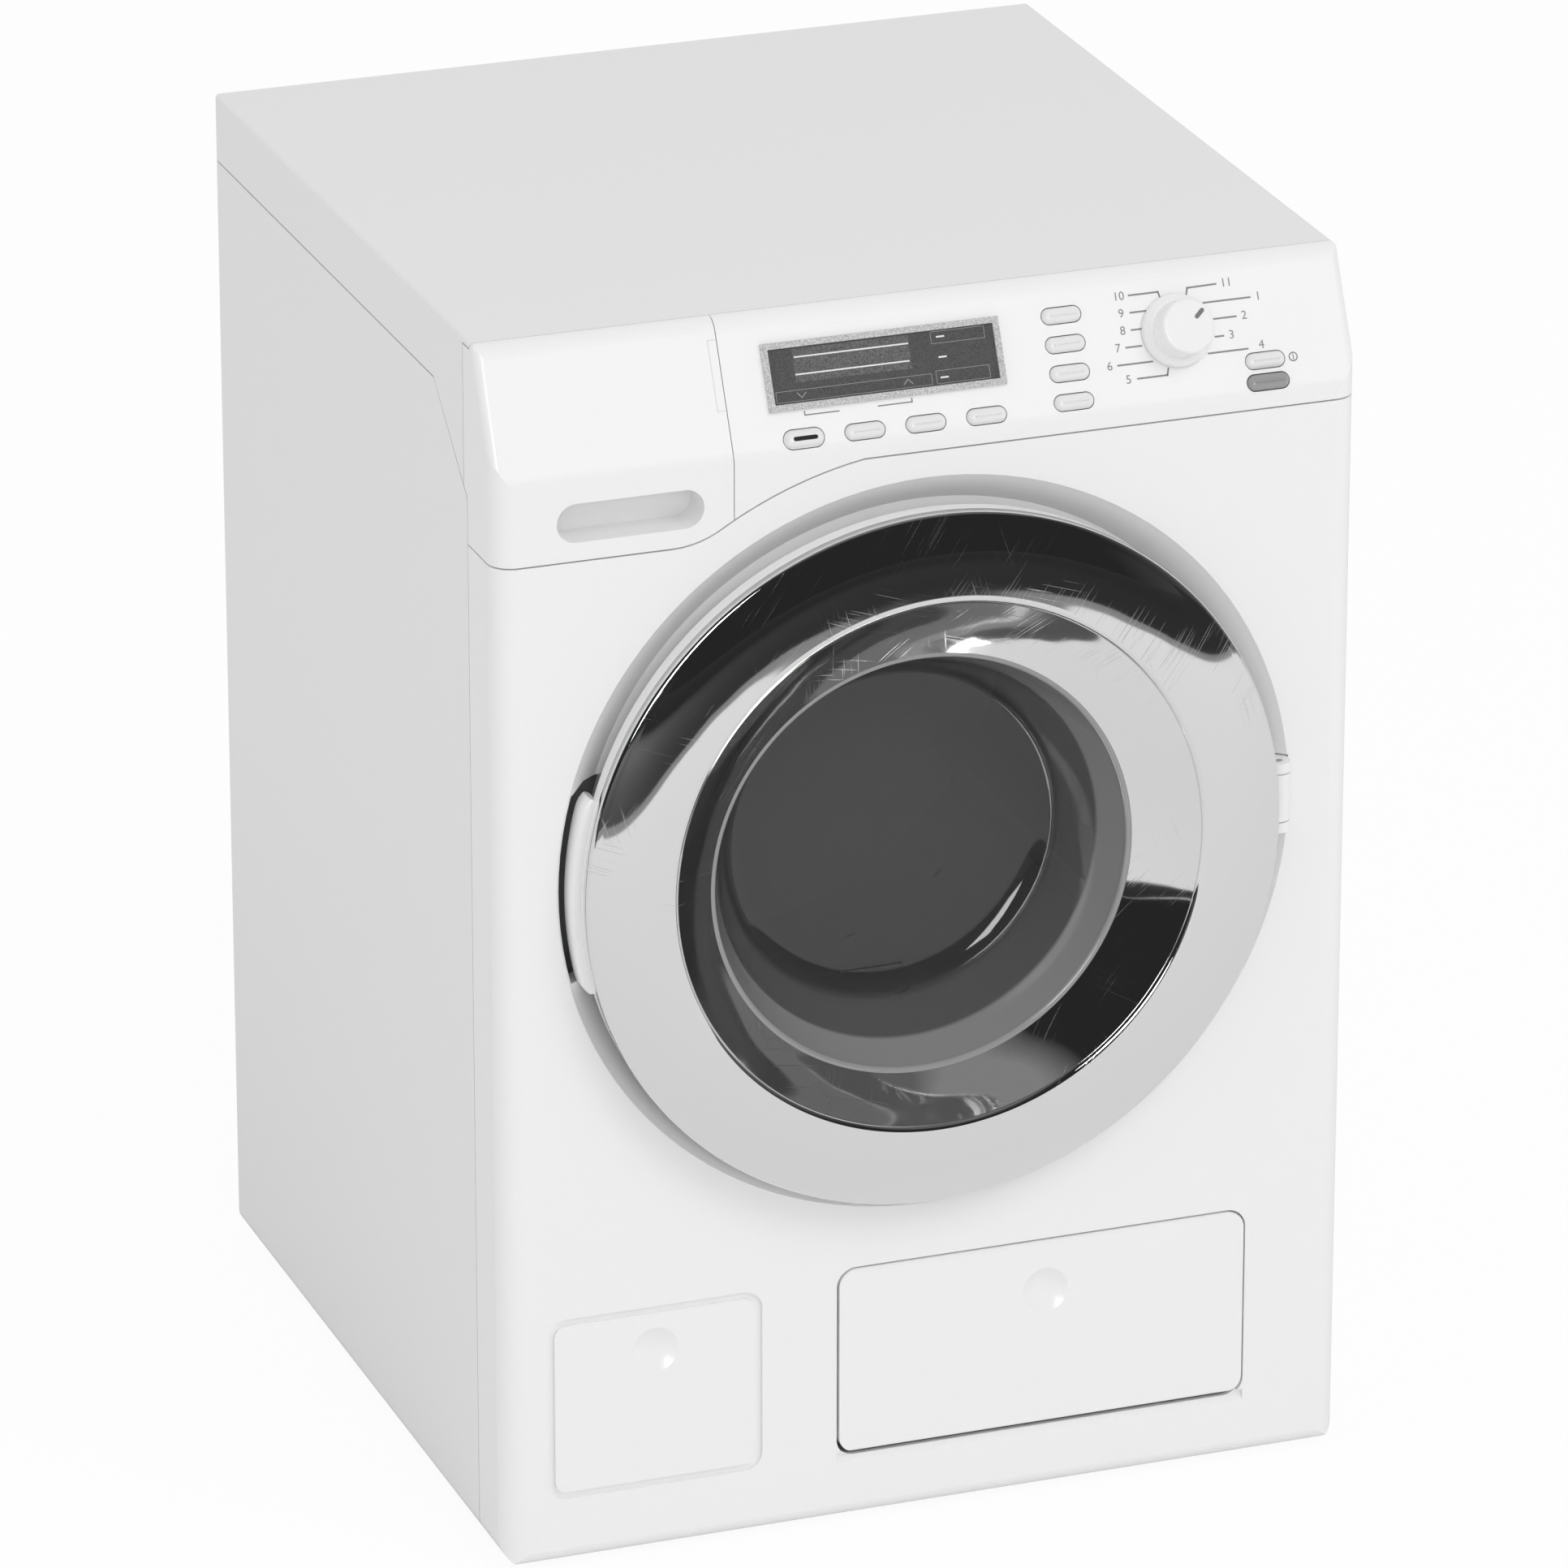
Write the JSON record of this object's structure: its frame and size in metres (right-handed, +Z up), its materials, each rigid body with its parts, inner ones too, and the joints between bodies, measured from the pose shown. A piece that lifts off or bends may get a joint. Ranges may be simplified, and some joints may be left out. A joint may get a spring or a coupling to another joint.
{
  "type": "toy washing machine",
  "caption": "Front-loading toy washing machine: white casing, round chrome door with a smoked window bowl, turning drum, sloping control fascia, pull-out drawer and service flap.",
  "frame": {"origin": "centre of the bounding box at the level of the feet", "axes": "+Z up, the door faces -Y, +X to the right when facing the door"},
  "size_m": [0.185, 0.1948, 0.2632],
  "materials": {
    "gloss_white": "smooth glossy moulding",
    "side_white": "smooth moulding",
    "chromed": "bright plated plastic",
    "smoked": "smoked transparent plastic",
    "display": "dark lens",
    "silver": "silver lacquer",
    "dark_plastic": "dark moulding",
    "drum_grey": "grey moulding",
    "tub_grey": "grey moulding",
    "soft_grey": "soft seal",
    "soft_dark": "soft rubber",
    "soft_white": "silicone pad",
    "steel": "plated steel",
    "acetal": "natural gear plastic",
    "board": "printed circuit board",
    "mid_grey": "grey moulding",
    "cell": "wrapped cell"
  },
  "bodies": {
    "cabinet": {"cabinet_shell": "side_white", "base_plate": "side_white", "feet": "soft_dark", "top_cover": "side_white", "front_panel": "gloss_white", "control_fascia": "gloss_white", "display_frame": "silver", "display_window": "display", "circuit_board": "board", "button_pad": "soft_white", "speaker": "dark_plastic", "drawer_housing": "side_white", "fill_spout": "side_white", "hinge_block": "gloss_white", "hinge_pin": "steel", "latch_clip": "side_white", "door_gasket": "soft_grey", "water_tub": "tub_grey", "tub_bushing": "acetal", "gear_motor": "steel", "motor_bracket": "steel", "drain_tube": "soft_dark", "drain_plug": "soft_dark", "flap_compartment": "side_white", "battery_box": "dark_plastic", "battery_cells": "cell", "battery_contacts": "steel", "battery_door": "side_white", "battery_door_screw": "steel", "housing_screws": "steel"},
    "door": {"door_back_shell": "gloss_white", "door_bezel": "chromed", "door_inner_ring": "chromed", "door_window": "smoked", "door_latch_hook": "gloss_white", "door_screws": "steel"},
    "drum": {"drum_basket": "drum_grey", "drum_lifters": "drum_grey", "drum_shaft": "steel", "drum_gear": "acetal"},
    "pinion": {"motor_pinion": "acetal"},
    "dial": {"program_knob": "gloss_white", "knob_pointer": "mid_grey"},
    "drawer": {"drawer_front": "gloss_white", "drawer_tray": "gloss_white"},
    "flap": {"service_flap": "gloss_white"},
    "start_button": {"start_button": "gloss_white"},
    "fill_button": {"fill_button": "gloss_white"},
    "wash_button": {"wash_button": "gloss_white"},
    "drain_button": {"drain_button": "gloss_white"},
    "option_button_1": {"option_button_1": "gloss_white"},
    "option_button_2": {"option_button_2": "gloss_white"},
    "option_button_3": {"option_button_3": "gloss_white"},
    "option_button_4": {"option_button_4": "gloss_white"},
    "power_button": {"power_button": "gloss_white"},
    "door_button": {"door_button": "mid_grey"}
  },
  "joints": [
    {"name": "door_hinge", "type": "hinge", "parent": "cabinet", "child": "door", "pos_m": [0.0754, -0.0881, 0.1504], "axis": [0, 0, 1], "range_deg": [0, 110]},
    {"name": "drum_spin", "type": "hinge", "parent": "cabinet", "child": "drum", "pos_m": [-0.0015, 0.0454, 0.1486], "axis": [0, 1, 0], "continuous": true},
    {"name": "motor_spin", "type": "hinge", "parent": "cabinet", "child": "pinion", "pos_m": [-0.0281, 0.0544, 0.122], "axis": [0, 1, 0], "continuous": true},
    {"name": "program_dial", "type": "hinge", "parent": "cabinet", "child": "dial", "pos_m": [0.0548, -0.08019, 0.25095], "axis": [0, -0.9026, 0.4305], "continuous": true},
    {"name": "drawer_slide", "type": "slide", "parent": "cabinet", "child": "drawer", "axis": [0, -1, 0], "range_m": [0, 0.048]},
    {"name": "flap_hinge", "type": "hinge", "parent": "cabinet", "child": "flap", "pos_m": [0.0253, -0.0826, 0.026], "axis": [1, 0, 0], "range_deg": [0, 85]},
    {"name": "start_button_press", "type": "slide", "parent": "cabinet", "child": "start_button", "axis": [0, 0.9026, -0.4305], "range_m": [0, 0.001], "stiffness_N_per_m": 300},
    {"name": "fill_button_press", "type": "slide", "parent": "cabinet", "child": "fill_button", "axis": [0, 0.9026, -0.4305], "range_m": [0, 0.001], "stiffness_N_per_m": 300},
    {"name": "wash_button_press", "type": "slide", "parent": "cabinet", "child": "wash_button", "axis": [0, 0.9026, -0.4305], "range_m": [0, 0.001], "stiffness_N_per_m": 300},
    {"name": "drain_button_press", "type": "slide", "parent": "cabinet", "child": "drain_button", "axis": [0, 0.9026, -0.4305], "range_m": [0, 0.001], "stiffness_N_per_m": 300},
    {"name": "option_button_1_press", "type": "slide", "parent": "cabinet", "child": "option_button_1", "axis": [0, 0.9026, -0.4305], "range_m": [0, 0.001], "stiffness_N_per_m": 300},
    {"name": "option_button_2_press", "type": "slide", "parent": "cabinet", "child": "option_button_2", "axis": [0, 0.9026, -0.4305], "range_m": [0, 0.001], "stiffness_N_per_m": 300},
    {"name": "option_button_3_press", "type": "slide", "parent": "cabinet", "child": "option_button_3", "axis": [0, 0.9026, -0.4305], "range_m": [0, 0.001], "stiffness_N_per_m": 300},
    {"name": "option_button_4_press", "type": "slide", "parent": "cabinet", "child": "option_button_4", "axis": [0, 0.9026, -0.4305], "range_m": [0, 0.001], "stiffness_N_per_m": 300},
    {"name": "power_button_press", "type": "slide", "parent": "cabinet", "child": "power_button", "axis": [0, 0.9026, -0.4305], "range_m": [0, 0.001], "stiffness_N_per_m": 300},
    {"name": "door_button_press", "type": "slide", "parent": "cabinet", "child": "door_button", "axis": [0, 0.9026, -0.4305], "range_m": [0, 0.001], "stiffness_N_per_m": 300}
  ],
  "couplings": [
    {"joint": "motor_spin", "follows": "drum_spin", "ratio": -4}
  ]
}
